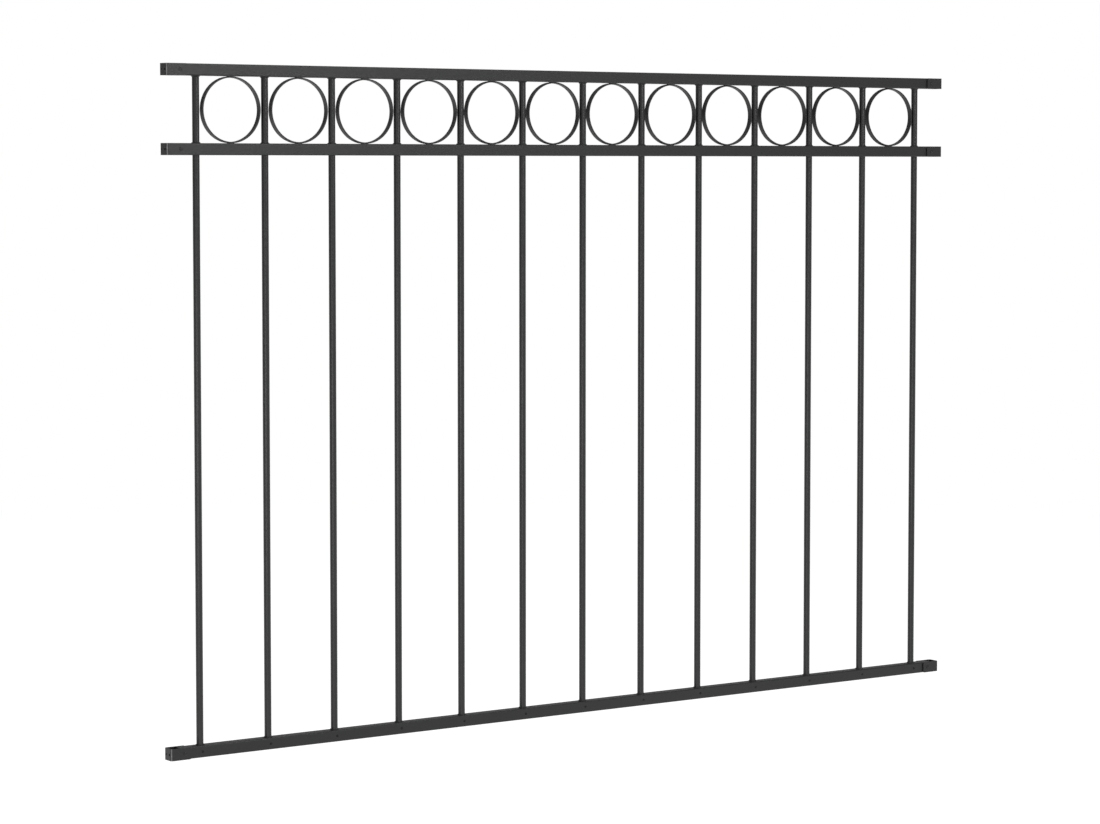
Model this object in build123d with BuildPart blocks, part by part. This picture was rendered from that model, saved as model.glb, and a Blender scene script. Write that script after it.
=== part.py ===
# Steel fence panel: three pierced tube rails, round pickets, a row of rings between the
# upper rails, and a folded strap bracket on each rail end.
# The origin is the centre of the bottom left bracket's outer face. X runs along the panel,
# Y runs through it with the front at negative Y, and Z is up.
import os

from build123d import *

# Driving dimensions, in millimetres
panel_length = 1700.0  # between the outer faces of the end brackets
panel_height = 1160.0  # underside of the bottom rail to the top of the top rail

rail_size = 20.0  # square tube, outside
rail_wall = 1.5
rail_corner = 2.0  # outside radius of the tube's corners
bore_corner = 0.5  # inside radius of the tube's corners

picket_diameter = 12.0
hole_clearance = 0.25  # all round a picket in its punched hole

ring_diameter = 111.2  # outside
ring_thickness = 2.2
ring_depth = 9.5
ring_seat = 0.2  # between a ring and each rail, where the weld goes
ring_side_gap = 4.15  # between a ring and the picket beside it

strap_thickness = 2.0
strap_length = 38.0  # end plate's outer face to the tip of a cheek
strap_bend = 2.0  # inside radius of a fold
strap_tip = 2.5  # radius of the corners at the tip of a cheek
strap_clearance = 0.3  # between a cheek and the rail
rail_end_gap = 16.5  # end plate to the rail's end, room for the heads of the post screws

post_hole_diameter = 4.5
post_hole_spacing = 12.0
cheek_hole_diameter = 4.5
pilot_hole_diameter = 3.5
pilot_setback = 8.0  # from the rail's end to the screw that holds the bracket on

# Heights of the rails
band_height = ring_diameter + 2 * ring_seat
bottom_z = 0.0
top_z = bottom_z + panel_height - rail_size
middle_z = top_z - rail_size - band_height
ring_z = (top_z + middle_z) / 2

# Places along the panel
picket_pitch = ring_diameter + picket_diameter + 2 * ring_side_gap
least_overhang = strap_length + picket_diameter
bay_count = int((panel_length - 2 * least_overhang) // picket_pitch)
overhang = (panel_length - bay_count * picket_pitch) / 2
picket_places = [overhang + i * picket_pitch for i in range(bay_count + 1)]
ring_places = [x + picket_pitch / 2 for x in picket_places[:-1]]
rail_start = strap_thickness + rail_end_gap
rail_length = panel_length - 2 * rail_start
left_screw_x = rail_start + pilot_setback
screw_places = [left_screw_x, panel_length - left_screw_x]

# A picket stands on the bottom rail's lower wall and ends under the top rail's upper wall
picket_foot = bottom_z - rail_size / 2 + rail_wall
picket_head = top_z + rail_size / 2 - rail_wall

# A bracket takes the rail between its cheeks, and the strap is as wide as the rail is tall
strap_inside = rail_size + 2 * strap_clearance
strap_depth = strap_inside + 2 * strap_thickness
strap_height = rail_size

mid_plane = Plane.YZ.offset(panel_length / 2)


def write_step(part, name):
    part.label = name
    export_step(part, f"parts/{name}.step")


# A square tube with rounded corners, pierced for the pickets from one height to another,
# and drilled in its front wall for the two bracket screws
def build_rail(name, z, pierced_from, pierced_to):
    with BuildPart() as rail:
        with BuildSketch(Plane.YZ.offset(rail_start)):
            with Locations((0, z)):
                RectangleRounded(rail_size, rail_size, rail_corner)
                bore = rail_size - 2 * rail_wall
                RectangleRounded(bore, bore, bore_corner, mode=Mode.SUBTRACT)
        extrude(amount=rail_length)
        with BuildSketch(Plane.XY.offset(pierced_from)):
            with Locations(*[(x, 0) for x in picket_places]):
                Circle(picket_diameter / 2 + hole_clearance)
        extrude(amount=pierced_to - pierced_from, mode=Mode.SUBTRACT)
        with BuildSketch(Plane.XZ.offset(rail_size / 2)):
            with Locations(*[(x, z) for x in screw_places]):
                Circle(pilot_hole_diameter / 2)
        extrude(amount=-rail_size / 2, mode=Mode.SUBTRACT)
    write_step(rail.part, name)


# A round bar that runs through the middle rail from the bottom rail to the top one
def build_picket(name, x):
    with BuildPart() as picket:
        with BuildSketch(Plane.XY.offset(picket_foot)):
            with Locations((x, 0)):
                Circle(picket_diameter / 2)
        extrude(amount=picket_head - picket_foot)
    write_step(picket.part, name)


# A flat strip rolled into a ring that fills the band between the upper rails
def build_ring(name, x):
    with BuildPart() as ring:
        with BuildSketch(Plane.XZ):
            with Locations((x, ring_z)):
                Circle(ring_diameter / 2)
                Circle(ring_diameter / 2 - ring_thickness, mode=Mode.SUBTRACT)
        extrude(amount=ring_depth / 2, both=True)
    write_step(ring.part, name)


# A strap folded into a U: an end plate with two post holes, and two cheeks beside the rail
def build_bracket(name, z, on_right):
    with BuildPart() as bracket:
        with BuildSketch(Plane.XY.offset(z - strap_height / 2)) as strap:
            Rectangle(strap_length, strap_depth, align=(Align.MIN, Align.CENTER))
            with Locations((strap_thickness, 0)):
                Rectangle(strap_length, strap_inside, align=(Align.MIN, Align.CENTER), mode=Mode.SUBTRACT)
            fillet(strap.vertices().group_by(Axis.X)[1], strap_bend)
            fillet(strap.vertices().group_by(Axis.X)[0], strap_bend + strap_thickness)
        extrude(amount=strap_height)
        fillet(bracket.edges().filter_by(Axis.Y).group_by(Axis.X)[-1], strap_tip)
        with BuildSketch(Plane.YZ):
            with Locations((0, z)):
                with GridLocations(post_hole_spacing, 0, 2, 1):
                    Circle(post_hole_diameter / 2)
        extrude(amount=strap_thickness, mode=Mode.SUBTRACT)
        with BuildSketch(Plane.XZ.offset(strap_depth / 2)):
            with Locations((left_screw_x, z)):
                Circle(cheek_hole_diameter / 2)
        extrude(amount=-strap_thickness, mode=Mode.SUBTRACT)
        if on_right:
            mirror(about=mid_plane, mode=Mode.REPLACE)
    write_step(bracket.part, name)


os.makedirs("parts", exist_ok=True)

build_rail("bottom_rail", bottom_z, bottom_z, bottom_z + rail_size / 2)
build_rail("middle_rail", middle_z, middle_z - rail_size / 2, middle_z + rail_size / 2)
build_rail("top_rail", top_z, top_z - rail_size / 2, top_z)

for number, place in enumerate(picket_places, start=1):
    build_picket(f"picket_{number:02d}", place)

for number, place in enumerate(ring_places, start=1):
    build_ring(f"ring_{number:02d}", place)

for level, height in (("bottom", bottom_z), ("middle", middle_z), ("top", top_z)):
    build_bracket(f"{level}_left_bracket", height, on_right=False)
    build_bracket(f"{level}_right_bracket", height, on_right=True)
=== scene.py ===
# Looks of the steel fence panel: black powder coat on the rails, pickets, rings and brackets, with the
# weld beads, bracket screws and rail pins that the solids leave out.
import math

import bmesh
import bpy
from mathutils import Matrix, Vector


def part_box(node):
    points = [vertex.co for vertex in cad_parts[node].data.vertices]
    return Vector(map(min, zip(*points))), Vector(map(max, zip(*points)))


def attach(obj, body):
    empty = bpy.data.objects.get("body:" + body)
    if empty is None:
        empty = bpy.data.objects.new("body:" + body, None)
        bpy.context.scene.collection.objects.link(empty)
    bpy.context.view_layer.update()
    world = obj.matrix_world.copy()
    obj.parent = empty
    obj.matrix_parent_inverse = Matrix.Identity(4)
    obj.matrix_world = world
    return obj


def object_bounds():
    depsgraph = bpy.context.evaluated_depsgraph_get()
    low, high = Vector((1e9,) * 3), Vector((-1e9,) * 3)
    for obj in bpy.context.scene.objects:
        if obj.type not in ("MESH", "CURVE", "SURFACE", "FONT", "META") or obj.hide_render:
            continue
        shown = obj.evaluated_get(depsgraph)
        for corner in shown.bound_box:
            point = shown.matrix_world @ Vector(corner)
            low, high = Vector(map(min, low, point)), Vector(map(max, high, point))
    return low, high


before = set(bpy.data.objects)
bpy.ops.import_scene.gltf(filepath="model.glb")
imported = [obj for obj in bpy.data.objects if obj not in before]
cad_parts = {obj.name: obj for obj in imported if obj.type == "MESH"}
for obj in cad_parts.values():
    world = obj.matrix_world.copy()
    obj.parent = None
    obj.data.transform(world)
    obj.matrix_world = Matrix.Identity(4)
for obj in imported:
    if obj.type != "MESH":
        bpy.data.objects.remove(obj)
cad_low, cad_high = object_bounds()

MM = 0.001

# The panel's own places, read from the frame
picket_names = sorted(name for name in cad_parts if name.startswith("picket_"))
ring_names = sorted(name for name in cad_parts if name.startswith("ring_"))
bracket_names = sorted(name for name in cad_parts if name.endswith("_bracket"))
rail_names = sorted(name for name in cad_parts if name.endswith("_rail"))
top_rail_low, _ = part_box("top_rail")
_, middle_rail_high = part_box("middle_rail")
bottom_rail_low, bottom_rail_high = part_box("bottom_rail")
panel_centre = (cad_low + cad_high) / 2

# Weld beads: a fillet round each picket at the rails, and tacks at the top and bottom of each ring
COLLAR_LEG = 1.8 * MM
COLLAR_RIPPLES = 14
TACK_LENGTH = 9.0 * MM
TACK_LEG = 1.6 * MM
TACK_RIPPLES = 4
RIPPLE_HEIGHT = 0.14 * MM
WELD_SEED = 4

# Bracket screws, set back from the end plate's outer face
SCREW_SETBACK = 26.5 * MM
SCREW_HEAD_RADIUS = 3.0 * MM
SCREW_HEAD_HEIGHT = 1.4 * MM
SCREW_FLANK = 0.4 * MM
RECESS_SPAN = 2.6 * MM
RECESS_WIDTH = 0.6 * MM
RECESS_DEPTH = 0.5 * MM
RECESS_TAPER = 0.6

# Pins in the front of the bottom rail
PIN_RADIUS = 2.1 * MM
PIN_HEIGHT = 0.6 * MM
PIN_BORE_RADIUS = 1.1 * MM
PIN_BORE_DEPTH = 0.7 * MM

# Both kinds of fastener, sunk a little into what they sit on
SEAT_DEPTH = 0.3 * MM
TURNED_STEPS = 32
MERGE_REACH = 0.001 * MM
FASTENER_SEED = 9

# The camera of the photo: left of the panel, level with the underside of the middle rail
CAMERA_PLACE = Vector((-2.5493, -4.7632, 0.9802))
CAMERA_YAW = math.radians(34.938)
CAMERA_PITCH = math.radians(3.56)
FOCAL_PIXELS = 3244.3
PHOTO_WIDTH = 1100
SENSOR_WIDTH = 36.0
FRAME_SHIFT = -0.04


# Turns an sRGB hex value into a linear colour
def linear(hex_colour):
    channels = [int(hex_colour[i:i + 2], 16) / 255 for i in (1, 3, 5)]
    return [c / 12.92 if c <= 0.04045 else ((c + 0.055) / 1.055) ** 2.4 for c in channels] + [1.0]


def add_node(tree, kind, attributes=None, values=None, links=None):
    node = tree.nodes.new(kind)
    for name, value in (attributes or {}).items():
        setattr(node, name, value)
    for name, value in (values or {}).items():
        node.inputs[name].default_value = value
    for name, source in (links or {}).items():
        tree.links.new(source, node.inputs[name])
    return node


def new_material(name):
    material = bpy.data.materials.new(name)
    material.use_nodes = True
    material.node_tree.nodes.clear()
    return material, material.node_tree


# Polyester powder coat, sprayed dry and baked: an even near-black film, semi-gloss, with the shallow
# waviness of orange peel and a faint cloudiness in its gloss. The peel is drawn coarser and deeper than the
# real one, so that it shows. A stretch below 1 draws the clouds and the grain out along that axis.
def powder_coat(name, colour, cloud_colour, roughness, peel_mm, peel_height_mm,
                stretch=(1.0, 1.0, 1.0), painted_highlight=None):
    cloud_mm = 70.0
    grain_mm = 0.9
    grain_low = 0.1
    grain_high = 0.9
    gloss_spread = 0.05
    peel_strength = 0.8
    material, tree = new_material(name)
    place = add_node(tree, "ShaderNodeTexCoord")
    along = add_node(tree, "ShaderNodeMapping", values={"Scale": stretch},
                     links={"Vector": place.outputs["Object"]})
    clouds = add_node(tree, "ShaderNodeTexNoise", values={"Scale": 1 / (cloud_mm * MM), "Detail": 3.0},
                      links={"Vector": along.outputs["Vector"]})
    grain = add_node(tree, "ShaderNodeTexNoise", values={"Scale": 1 / (grain_mm * MM), "Detail": 2.0},
                     links={"Vector": along.outputs["Vector"]})
    peel = add_node(tree, "ShaderNodeTexNoise", values={"Scale": 1 / (peel_mm * MM), "Detail": 1.0},
                    links={"Vector": place.outputs["Object"]})
    tint = add_node(tree, "ShaderNodeMix", {"data_type": "RGBA"},
                    {"A": linear(colour), "B": linear(cloud_colour)}, {"Factor": clouds.outputs["Fac"]})
    gloss = add_node(tree, "ShaderNodeMapRange",
                     values={"From Min": grain_low, "From Max": grain_high,
                             "To Min": roughness - gloss_spread, "To Max": roughness + gloss_spread},
                     links={"Value": grain.outputs["Fac"]})
    skin = add_node(tree, "ShaderNodeBump",
                    values={"Strength": peel_strength, "Distance": peel_height_mm * MM},
                    links={"Height": peel.outputs["Fac"]})
    # Where one is given, a painted highlight is laid into the colour
    if painted_highlight:
        tint = painted_highlight(tree, place, grain, tint)
    coat = add_node(tree, "ShaderNodeBsdfPrincipled", values={"IOR": 1.5, "Specular IOR Level": 0.5},
                    links={"Base Color": tint.outputs["Result"], "Roughness": gloss.outputs["Result"],
                           "Normal": skin.outputs["Normal"]})
    add_node(tree, "ShaderNodeOutputMaterial", links={"Surface": coat.outputs["BSDF"]})
    return material


# A painted highlight along the ridge of each bracket's fold: a patchy band of lighter grey in the coat's
# colour that stands in for the glint of the bend. Summed over X and Y, the distance in from the bracket's
# outer faces is least on that ridge.
def fold_painted_highlight(tree, place, grain, tint):
    painted_highlight_colour = "#b4b4b6"
    fold_radius = 4.0 * MM
    highlight_reach = 0.3 * MM
    highlight_strength = 1.2
    ridge = (2 - math.sqrt(2)) * fold_radius
    half = (cad_high - cad_low) / 2
    from_middle = add_node(tree, "ShaderNodeVectorMath", {"operation": "SUBTRACT"}, {1: panel_centre},
                           {0: place.outputs["Object"]})
    outward = add_node(tree, "ShaderNodeVectorMath", {"operation": "ABSOLUTE"},
                       links={0: from_middle.outputs["Vector"]})
    inward = add_node(tree, "ShaderNodeVectorMath", {"operation": "SUBTRACT"}, {0: half},
                      {1: outward.outputs["Vector"]})
    summed = add_node(tree, "ShaderNodeVectorMath", {"operation": "DOT_PRODUCT"}, {1: (1, 1, 0)},
                      {0: inward.outputs["Vector"]})
    highlight_band = add_node(tree, "ShaderNodeMapRange", {"interpolation_type": "SMOOTHSTEP"},
                    {"From Min": ridge, "From Max": ridge + highlight_reach, "To Min": highlight_strength, "To Max": 0.0},
                    {"Value": summed.outputs["Value"]})
    patchy_highlight = add_node(tree, "ShaderNodeMath", {"operation": "MULTIPLY", "use_clamp": True},
                      links={0: highlight_band.outputs["Result"], 1: grain.outputs["Fac"]})
    return add_node(tree, "ShaderNodeMix", {"data_type": "RGBA"}, {"B": linear(painted_highlight_colour)},
                    {"A": tint.outputs["Result"], "Factor": patchy_highlight.outputs["Value"]})


# Zinc-plated and blackened steel of the screws and pins: a dull, dark metal sheen with fine scuffs
def blackened_steel(name, colour, worn_colour, metallic, roughness):
    scuff_mm = 1.2
    scuff_depth_mm = 0.05
    scuff_strength = 0.2
    gloss_spread = 0.08
    material, tree = new_material(name)
    place = add_node(tree, "ShaderNodeTexCoord")
    scuffs = add_node(tree, "ShaderNodeTexNoise", values={"Scale": 1 / (scuff_mm * MM), "Detail": 4.0},
                      links={"Vector": place.outputs["Object"]})
    tint = add_node(tree, "ShaderNodeMix", {"data_type": "RGBA"},
                    {"A": linear(colour), "B": linear(worn_colour)}, {"Factor": scuffs.outputs["Fac"]})
    gloss = add_node(tree, "ShaderNodeMapRange",
                     values={"To Min": roughness - gloss_spread, "To Max": roughness + gloss_spread},
                     links={"Value": scuffs.outputs["Fac"]})
    skin = add_node(tree, "ShaderNodeBump",
                    values={"Strength": scuff_strength, "Distance": scuff_depth_mm * MM},
                    links={"Height": scuffs.outputs["Fac"]})
    steel = add_node(tree, "ShaderNodeBsdfPrincipled", values={"Metallic": metallic},
                     links={"Base Color": tint.outputs["Result"], "Roughness": gloss.outputs["Result"],
                            "Normal": skin.outputs["Normal"]})
    add_node(tree, "ShaderNodeOutputMaterial", links={"Surface": steel.outputs["BSDF"]})
    return material


rail_coat = powder_coat("rail_powder_coat", "#161617", "#1c1c1d",
                        roughness=0.45, peel_mm=2.4, peel_height_mm=0.2)
picket_coat = powder_coat("picket_powder_coat", "#161617", "#1c1c1d",
                          roughness=0.30, peel_mm=2.0, peel_height_mm=0.08, stretch=(1.0, 1.0, 0.05))
ring_coat = powder_coat("ring_powder_coat", "#161617", "#1b1b1c",
                        roughness=0.50, peel_mm=2.0, peel_height_mm=0.1)
# The brackets carry a painted highlight, a lighter grey band along the ridge of each fold
bracket_coat = powder_coat("bracket_powder_coat", "#171718", "#1d1d1e",
                           roughness=0.46, peel_mm=2.4, peel_height_mm=0.2, stretch=(1.0, 1.0, 0.2),
                           painted_highlight=fold_painted_highlight)
# The weld beads' coat is drawn darker than the panel's coat: painted shade for the dark band round the
# picket feet and where the rings meet the rails
weld_painted_shade_coat = powder_coat("weld_powder_coat_painted_shade", "#0c0c0d", "#121213",
                        roughness=0.55, peel_mm=1.6, peel_height_mm=0.1)
screw_steel = blackened_steel("screw_black_zinc", "#1c1c1e", "#262628", metallic=0.1, roughness=0.45)
pin_steel = blackened_steel("pin_blackened_steel", "#060607", "#0d0d0e", metallic=0.6, roughness=0.5)


def coat_nodes(names, material):
    for name in names:
        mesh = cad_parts[name].data
        mesh.materials.clear()
        mesh.materials.append(material)


def points_object(name, places):
    mesh = bpy.data.meshes.new(name)
    mesh.from_pydata([tuple(place) for place in places], [], [])
    piece = bpy.data.objects.new(name, mesh)
    bpy.context.scene.collection.objects.link(piece)
    return piece


# Inputs that every shape tree has besides its own sizes, and those of the two welds
PLACING = [("Tilt", "NodeSocketVector"), ("Seed", "NodeSocketInt"), ("Finish", "NodeSocketMaterial")]
WELD_SIZES = [("Bead leg", "NodeSocketFloat"), ("Ripple height", "NodeSocketFloat"),
              ("Ripples", "NodeSocketFloat")]


# Starts a node tree with one named input for each size, and returns the tree and its input node
def new_shape_tree(name, sizes):
    tree = bpy.data.node_groups.new(name, "GeometryNodeTree")
    tree.interface.new_socket("Places", in_out="INPUT", socket_type="NodeSocketGeometry")
    for label, kind in [*sizes, *PLACING]:
        tree.interface.new_socket(label, in_out="INPUT", socket_type=kind)
    tree.interface.new_socket("Geometry", in_out="OUTPUT", socket_type="NodeSocketGeometry")
    return tree, add_node(tree, "NodeGroupInput")


# Sets a shape on every place, tilted as asked and turned about one axis by a seeded random angle, and gives
# it its finish
def set_on_places(tree, given, shape, turn_axis):
    full_turn = [math.tau * part for part in turn_axis]
    turn = add_node(tree, "FunctionNodeRandomValue", {"data_type": "FLOAT_VECTOR"},
                    {0: (0, 0, 0), 1: full_turn}, {"Seed": given.outputs["Seed"]})
    tilted = add_node(tree, "ShaderNodeVectorMath", {"operation": "ADD"},
                      links={0: given.outputs["Tilt"], 1: turn.outputs[0]})
    angle = add_node(tree, "FunctionNodeEulerToRotation", links={"Euler": tilted.outputs["Vector"]})
    copies = add_node(tree, "GeometryNodeInstanceOnPoints",
                      links={"Points": given.outputs["Places"], "Instance": shape,
                             "Rotation": angle.outputs["Rotation"]})
    real = add_node(tree, "GeometryNodeRealizeInstances", links={"Geometry": copies.outputs["Instances"]})
    finish = add_node(tree, "GeometryNodeSetMaterial",
                      links={"Geometry": real.outputs["Geometry"], "Material": given.outputs["Finish"]})
    add_node(tree, "NodeGroupOutput", links={"Geometry": finish.outputs["Geometry"]})


# Lifts a smooth bead into ripples that follow the sine of a phase
def rippled(tree, bead, phase, given):
    wave = add_node(tree, "ShaderNodeMath", {"operation": "SINE"}, links={0: phase})
    height = add_node(tree, "ShaderNodeMath", {"operation": "MULTIPLY"},
                      links={0: wave.outputs["Value"], 1: given.outputs["Ripple height"]})
    normal = add_node(tree, "GeometryNodeInputNormal")
    offset = add_node(tree, "ShaderNodeVectorMath", {"operation": "SCALE"},
                      links={0: normal.outputs["Normal"], "Scale": height.outputs["Value"]})
    lifted = add_node(tree, "GeometryNodeSetPosition",
                      links={"Geometry": bead, "Offset": offset.outputs["Vector"]})
    smooth = add_node(tree, "GeometryNodeSetShadeSmooth", links={"Geometry": lifted.outputs["Geometry"]})
    return smooth.outputs["Geometry"]


# A fillet weld round a picket: an oval bead laid slantwise in the corner of bar and rail, its two toes
# sunk. The section's X runs out from the bar and its Y down into the rail, both as shares of the leg.
def weld_collar_tree():
    middle = (0.33, -0.33, 0)
    slant = (0, 0, math.pi / 4)
    spread = (0.72, 0.38, 1)
    path_points = 84
    section_points = 12
    tree, given = new_shape_tree("weld_collar", [("Picket radius", "NodeSocketFloat"), *WELD_SIZES])
    path = add_node(tree, "GeometryNodeCurvePrimitiveCircle", values={"Resolution": path_points},
                    links={"Radius": given.outputs["Picket radius"]})
    circle = add_node(tree, "GeometryNodeCurvePrimitiveCircle", values={"Resolution": section_points},
                      links={"Radius": given.outputs["Bead leg"]})
    seat = add_node(tree, "ShaderNodeVectorMath", {"operation": "SCALE"}, {0: middle},
                    {"Scale": given.outputs["Bead leg"]})
    section = add_node(tree, "GeometryNodeTransform", values={"Rotation": slant, "Scale": spread},
                       links={"Geometry": circle.outputs["Curve"], "Translation": seat.outputs["Vector"]})
    bead = add_node(tree, "GeometryNodeCurveToMesh",
                    links={"Curve": path.outputs["Curve"], "Profile Curve": section.outputs["Geometry"]})
    place = add_node(tree, "GeometryNodeInputPosition")
    parts = add_node(tree, "ShaderNodeSeparateXYZ", links={"Vector": place.outputs["Position"]})
    bearing = add_node(tree, "ShaderNodeMath", {"operation": "ARCTAN2"},
                       links={0: parts.outputs["Y"], 1: parts.outputs["X"]})
    phase = add_node(tree, "ShaderNodeMath", {"operation": "MULTIPLY"},
                     links={0: bearing.outputs["Value"], 1: given.outputs["Ripples"]})
    shape = rippled(tree, bead.outputs["Mesh"], phase.outputs["Value"], given)
    set_on_places(tree, given, shape, (0, 0, 1))
    return tree


# A short tack weld along the rail, where a ring touches it: a ball of unit width drawn out to a bead
def ring_tack_tree():
    points_around = 12
    points_along = 20
    tree, given = new_shape_tree("ring_tack", [("Length", "NodeSocketFloat"), *WELD_SIZES])
    ball = add_node(tree, "GeometryNodeMeshUVSphere",
                    values={"Segments": points_around, "Rings": points_along, "Radius": 0.5})
    lying = add_node(tree, "GeometryNodeTransform", values={"Rotation": (0, math.pi / 2, 0)},
                     links={"Geometry": ball.outputs["Mesh"]})
    thick = add_node(tree, "ShaderNodeMath", {"operation": "MULTIPLY"}, {1: 2.0},
                     {0: given.outputs["Bead leg"]})
    size = add_node(tree, "ShaderNodeCombineXYZ",
                    links={"X": given.outputs["Length"], "Y": thick.outputs["Value"],
                           "Z": thick.outputs["Value"]})
    bead = add_node(tree, "GeometryNodeTransform",
                    links={"Geometry": lying.outputs["Geometry"], "Scale": size.outputs["Vector"]})
    place = add_node(tree, "GeometryNodeInputPosition")
    parts = add_node(tree, "ShaderNodeSeparateXYZ", links={"Vector": place.outputs["Position"]})
    share = add_node(tree, "ShaderNodeMath", {"operation": "DIVIDE"},
                     links={0: parts.outputs["X"], 1: given.outputs["Length"]})
    turns = add_node(tree, "ShaderNodeMath", {"operation": "MULTIPLY"},
                     links={0: share.outputs["Value"], 1: given.outputs["Ripples"]})
    phase = add_node(tree, "ShaderNodeMath", {"operation": "MULTIPLY"}, {1: math.tau},
                     {0: turns.outputs["Value"]})
    shape = rippled(tree, bead.outputs["Geometry"], phase.outputs["Value"], given)
    set_on_places(tree, given, shape, (0, 0, 0))
    return tree


# A turned fastener, set on every place with its head to the front
def fastener_tree():
    tree, given = new_shape_tree("fastener", [("Piece", "NodeSocketObject")])
    piece = add_node(tree, "GeometryNodeObjectInfo", links={"Object": given.outputs["Piece"]})
    set_on_places(tree, given, piece.outputs["Geometry"], (0, 1, 0))
    return tree


# Runs a shape tree on a set of places and keeps the result as a plain mesh
def grow(name, places, tree, sizes):
    piece = points_object(name, places)
    modifier = piece.modifiers.new(tree.name, "NODES")
    modifier.node_group = tree
    for socket in tree.interface.items_tree:
        if socket.in_out == "INPUT" and socket.name in sizes:
            modifier[socket.identifier] = sizes[socket.name]
    graph = bpy.context.evaluated_depsgraph_get()
    mesh = bpy.data.meshes.new_from_object(piece.evaluated_get(graph))
    piece.modifiers.clear()
    piece.data = mesh
    mesh.name = name
    return piece


def picket_axis(name):
    low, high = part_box(name)
    return (low + high) / 2


# Weld collars: on the bottom and middle rails, and turned over under the top rail
def make_weld_collars():
    low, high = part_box(picket_names[0])
    tree = weld_collar_tree()
    axes = [picket_axis(name) for name in picket_names]
    sets = [("collars_over_rails", (0, 0, 0), [bottom_rail_high.z, middle_rail_high.z]),
            ("collars_under_top_rail", (math.pi, 0, 0), [top_rail_low.z])]
    for name, tilt, levels in sets:
        places = [(axis.x, axis.y, level) for axis in axes for level in levels]
        piece = grow(name, places, tree, {
            "Picket radius": (high.x - low.x) / 2, "Bead leg": COLLAR_LEG, "Ripple height": RIPPLE_HEIGHT,
            "Ripples": COLLAR_RIPPLES, "Tilt": tilt, "Seed": WELD_SEED, "Finish": weld_painted_shade_coat})
        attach(piece, "root")


# Ring tacks: in front of and behind each ring, against the top rail and the middle rail
def make_ring_tacks():
    places = []
    for name in ring_names:
        low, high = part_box(name)
        middle = (low.x + high.x) / 2
        for y in (low.y, high.y):
            places += [(middle, y, top_rail_low.z), (middle, y, middle_rail_high.z)]
    piece = grow("ring_tacks", places, ring_tack_tree(), {
        "Length": TACK_LENGTH, "Bead leg": TACK_LEG, "Ripple height": RIPPLE_HEIGHT,
        "Ripples": TACK_RIPPLES, "Seed": WELD_SEED, "Finish": weld_painted_shade_coat})
    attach(piece, "root")


# Keeps a bmesh as an object
def mesh_object(name, shape):
    mesh = bpy.data.meshes.new(name)
    shape.to_mesh(mesh)
    shape.free()
    piece = bpy.data.objects.new(name, mesh)
    bpy.context.scene.collection.objects.link(piece)
    return piece


# Spins a profile of (radius, height) points into a closed turned shape, with its height towards the front
def turned(name, profile):
    shape = bmesh.new()
    line = [shape.verts.new((radius, -height, 0)) for radius, height in profile]
    edges = [shape.edges.new(pair) for pair in zip(line, line[1:])]
    bmesh.ops.spin(shape, geom=line + edges, cent=(0, 0, 0), axis=(0, 1, 0), angle=math.tau,
                   steps=TURNED_STEPS, use_duplicate=False)
    bmesh.ops.remove_doubles(shape, verts=shape.verts, dist=MERGE_REACH)
    bmesh.ops.recalc_face_normals(shape, faces=shape.faces)
    return mesh_object(name, shape)


# Profile points of a domed head, from its rim to its crown
def dome(radius, base, top, steps=6):
    angles = [math.pi / 2 / steps * i for i in range(steps + 1)]
    return [(radius * math.cos(angle), base + (top - base) * math.sin(angle)) for angle in angles]


# One bar of the cross recess: a block that starts clear of the head and tapers a little as it goes in
def recess_bar(name, span, width):
    front = -2 * SCREW_HEAD_HEIGHT
    bottom = RECESS_DEPTH - SCREW_HEAD_HEIGHT
    shape = bmesh.new()
    bmesh.ops.create_cube(shape, size=1.0)
    for vert in shape.verts:
        deep = vert.co.y > 0
        taper = RECESS_TAPER if deep else 1.0
        vert.co.x *= span * taper
        vert.co.z *= width * taper
        vert.co.y = bottom if deep else front
    return mesh_object(name, shape)


# A pan-head screw with a cross recess, cut out of a turned head
def screw_head():
    profile = [(0, -SEAT_DEPTH), (SCREW_HEAD_RADIUS, -SEAT_DEPTH)]
    profile += dome(SCREW_HEAD_RADIUS, SCREW_FLANK, SCREW_HEAD_HEIGHT)
    head = turned("screw_head", profile)
    bars = [recess_bar("recess_across", RECESS_SPAN, RECESS_WIDTH),
            recess_bar("recess_upright", RECESS_WIDTH, RECESS_SPAN)]
    for bar in bars:
        cut = head.modifiers.new(bar.name, "BOOLEAN")
        cut.operation = "DIFFERENCE"
        cut.solver = "EXACT"
        cut.object = bar
    graph = bpy.context.evaluated_depsgraph_get()
    head.data = bpy.data.meshes.new_from_object(head.evaluated_get(graph))
    head.modifiers.clear()
    for bar in bars:
        bpy.data.objects.remove(bar)
    return head


# A pin with a low domed head and a sunk centre
def pin_head():
    rim = [point for point in dome(PIN_RADIUS, 0.0, PIN_HEIGHT) if point[0] > PIN_BORE_RADIUS]
    rim_height = rim[-1][1]
    bore_height = rim_height - PIN_BORE_DEPTH
    profile = [(0, -SEAT_DEPTH), (PIN_RADIUS, -SEAT_DEPTH), *rim,
               (PIN_BORE_RADIUS, rim_height), (PIN_BORE_RADIUS, bore_height), (0, bore_height)]
    return turned("pin_head", profile)


# One screw through the front cheek of each bracket into the rail
def make_bracket_screws(tree):
    places = []
    for name in bracket_names:
        low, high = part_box(name)
        on_left = low.x < panel_centre.x
        x = low.x + SCREW_SETBACK if on_left else high.x - SCREW_SETBACK
        places.append((x, low.y, (low.z + high.z) / 2))
    head = screw_head()
    piece = grow("bracket_screws", places, tree,
                 {"Piece": head, "Seed": FASTENER_SEED, "Finish": screw_steel})
    bpy.data.objects.remove(head)
    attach(piece, "root")


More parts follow.
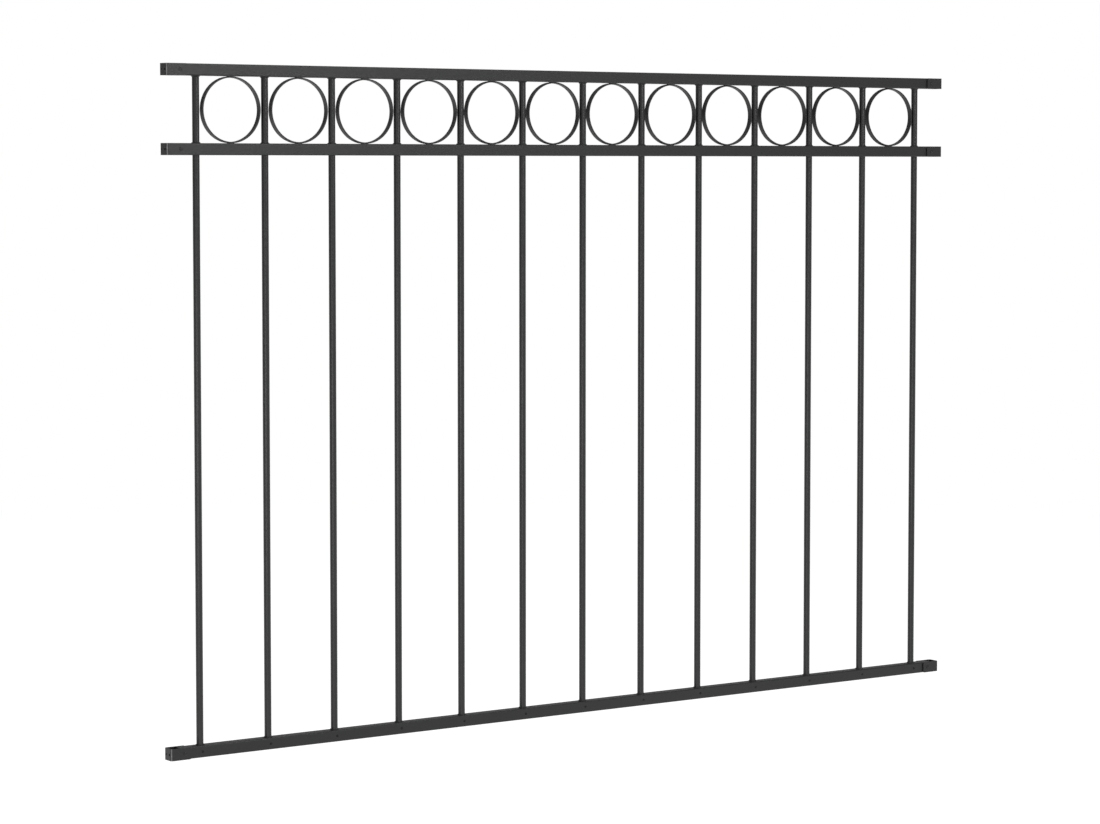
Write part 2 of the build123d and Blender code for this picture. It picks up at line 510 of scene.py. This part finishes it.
# One pin through the front of the bottom rail into the foot of each picket
def make_rail_pins(tree):
    height = (bottom_rail_low.z + bottom_rail_high.z) / 2
    places = [(picket_axis(name).x, bottom_rail_low.y, height) for name in picket_names]
    head = pin_head()
    piece = grow("rail_pins", places, tree,
                 {"Piece": head, "Seed": FASTENER_SEED, "Finish": pin_steel})
    bpy.data.objects.remove(head)
    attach(piece, "root")


# A pale floor that takes the panel's soft shadow and runs out to plain white
def make_floor():
    half = 40.0
    gap_under_rail = 0.08
    glow = 0.85
    paper_grey = 0.36
    shade_reach = 2.2
    white_reach = 4.5
    corners = [(-half, -half, 0), (half, -half, 0), (half, half, 0), (-half, half, 0)]
    mesh = bpy.data.meshes.new("floor")
    mesh.from_pydata(corners, [], [(0, 1, 2, 3)])
    floor = bpy.data.objects.new("floor", mesh)
    floor.location = (panel_centre.x, panel_centre.y, cad_low.z - gap_under_rail)
    bpy.context.scene.collection.objects.link(floor)
    material, tree = new_material("floor_paper")
    ray = add_node(tree, "ShaderNodeLightPath")
    seen = add_node(tree, "ShaderNodeMath", {"operation": "MAXIMUM"},
                    links={0: ray.outputs["Is Camera Ray"], 1: ray.outputs["Is Glossy Ray"]})
    shown = add_node(tree, "ShaderNodeMath", {"operation": "MAXIMUM"},
                     links={0: seen.outputs["Value"], 1: ray.outputs["Is Transmission Ray"]})
    place = add_node(tree, "ShaderNodeTexCoord")
    reach = add_node(tree, "ShaderNodeVectorMath", {"operation": "LENGTH"},
                     links={0: place.outputs["Object"]})
    far = add_node(tree, "ShaderNodeMapRange", {"interpolation_type": "SMOOTHSTEP"},
                   {"From Min": shade_reach, "From Max": white_reach}, {"Value": reach.outputs["Value"]})
    paper = add_node(tree, "ShaderNodeBsdfDiffuse",
                     values={"Color": (paper_grey, paper_grey, paper_grey, 1)})
    shine_level = add_node(tree, "ShaderNodeMath", {"operation": "MULTIPLY"}, {1: glow},
                           {0: shown.outputs["Value"]})
    shine = add_node(tree, "ShaderNodeEmission", links={"Strength": shine_level.outputs["Value"]})
    lit = add_node(tree, "ShaderNodeAddShader",
                   links={0: paper.outputs["BSDF"], 1: shine.outputs["Emission"]})
    white = add_node(tree, "ShaderNodeEmission", links={"Strength": shown.outputs["Value"]})
    sheet = add_node(tree, "ShaderNodeMixShader",
                     links={0: far.outputs["Result"], 1: lit.outputs["Shader"],
                            2: white.outputs["Emission"]})
    add_node(tree, "ShaderNodeOutputMaterial", links={"Surface": sheet.outputs["Shader"]})
    mesh.materials.append(material)


# White backdrop across the camera's view, in a dimmer room that is lighter in front and high up behind
def make_world():
    room_front = 0.42
    room_back = 0.2
    room_back_high = 0.45
    side_start, side_end = -0.3, 0.3
    rise_start, rise_end = 0.2, 0.5
    backdrop_start, backdrop_full = 0.75, 0.95
    backdrop_top, backdrop_end = 0.06, 0.16
    backdrop_way = (math.sin(CAMERA_YAW), math.cos(CAMERA_YAW), 0)
    world = bpy.data.worlds.new("studio")
    world.use_nodes = True
    tree = world.node_tree
    tree.nodes.clear()
    ray = add_node(tree, "ShaderNodeLightPath")
    place = add_node(tree, "ShaderNodeTexCoord")
    parts = add_node(tree, "ShaderNodeSeparateXYZ", links={"Vector": place.outputs["Generated"]})
    facing = add_node(tree, "ShaderNodeVectorMath", {"operation": "DOT_PRODUCT"}, {1: backdrop_way},
                      {0: place.outputs["Generated"]})
    across = add_node(tree, "ShaderNodeMapRange", {"interpolation_type": "SMOOTHSTEP"},
                      {"From Min": backdrop_start, "From Max": backdrop_full},
                      {"Value": facing.outputs["Value"]})
    under_top = add_node(tree, "ShaderNodeMapRange", {"interpolation_type": "SMOOTHSTEP"},
                         {"From Min": backdrop_top, "From Max": backdrop_end, "To Min": 1.0, "To Max": 0.0},
                         {"Value": parts.outputs["Z"]})
    backdrop = add_node(tree, "ShaderNodeMath", {"operation": "MULTIPLY"},
                        links={0: across.outputs["Result"], 1: under_top.outputs["Result"]})
    seen = add_node(tree, "ShaderNodeMath", {"operation": "MAXIMUM"},
                    links={0: backdrop.outputs["Value"], 1: ray.outputs["Is Camera Ray"]})
    back = add_node(tree, "ShaderNodeMapRange", {"interpolation_type": "SMOOTHSTEP"},
                    {"From Min": rise_start, "From Max": rise_end,
                     "To Min": room_back, "To Max": room_back_high},
                    {"Value": parts.outputs["Z"]})
    room = add_node(tree, "ShaderNodeMapRange", {"interpolation_type": "SMOOTHSTEP"},
                    {"From Min": side_start, "From Max": side_end, "To Min": room_front},
                    {"Value": parts.outputs["Y"], "To Max": back.outputs["Result"]})
    level = add_node(tree, "ShaderNodeMapRange", values={"To Max": 1.0},
                     links={"Value": seen.outputs["Value"], "To Min": room.outputs["Result"]})
    light = add_node(tree, "ShaderNodeBackground", values={"Color": (1, 1, 1, 1)},
                     links={"Strength": level.outputs["Result"]})
    add_node(tree, "ShaderNodeOutputWorld", links={"Surface": light.outputs["Background"]})
    bpy.context.scene.world = world


# A rectangular lamp, with its brightness as the world's strength is counted
def softbox(name, place, aim, width, height, brightness):
    lamp = bpy.data.lights.new(name, "AREA")
    lamp.shape = "RECTANGLE"
    lamp.size = width
    lamp.size_y = height
    lamp.energy = brightness * math.pi * width * height
    box = bpy.data.objects.new(name, lamp)
    box.location = place
    box.rotation_mode = "QUATERNION"
    box.rotation_quaternion = (Vector(aim) - Vector(place)).to_track_quat("-Z", "Y")
    box.visible_camera = False
    bpy.context.scene.collection.objects.link(box)


# A key softbox high in front, a long strip low at the front left for the sheen on the pickets, and a wide
# softbox overhead
def make_lights():
    middle = panel_centre.x
    softbox("key_softbox", place=(1.4, -3.9, 2.1), aim=(0.5, 0.0, 0.9),
            width=1.6, height=0.9, brightness=13.0)
    softbox("low_strip_light", place=(-2.8, -3.4, 0.2), aim=(middle, 0.0, 0.2),
            width=5.0, height=0.4, brightness=4.5)
    softbox("top_softbox", place=(middle, -0.6, 3.6), aim=(middle, 0.0, 0.0),
            width=3.6, height=2.6, brightness=1.2)


def make_camera():
    data = bpy.data.cameras.new("photo_camera")
    data.sensor_width = SENSOR_WIDTH
    data.lens = FOCAL_PIXELS / PHOTO_WIDTH * SENSOR_WIDTH
    data.shift_y = FRAME_SHIFT
    camera = bpy.data.objects.new("photo_camera", data)
    level = math.cos(CAMERA_PITCH)
    ahead = Vector((math.sin(CAMERA_YAW) * level, math.cos(CAMERA_YAW) * level, -math.sin(CAMERA_PITCH)))
    camera.location = CAMERA_PLACE
    camera.rotation_mode = "QUATERNION"
    camera.rotation_quaternion = ahead.to_track_quat("-Z", "Y")
    bpy.context.scene.collection.objects.link(camera)
    bpy.context.scene.camera = camera


bpy.context.scene.view_settings.view_transform = "Standard"
coat_nodes(rail_names, rail_coat)
coat_nodes(picket_names, picket_coat)
coat_nodes(ring_names, ring_coat)
coat_nodes(bracket_names, bracket_coat)
make_weld_collars()
make_ring_tacks()
fastener = fastener_tree()
make_bracket_screws(fastener)
make_rail_pins(fastener)
make_floor()
make_world()
make_lights()
make_camera()
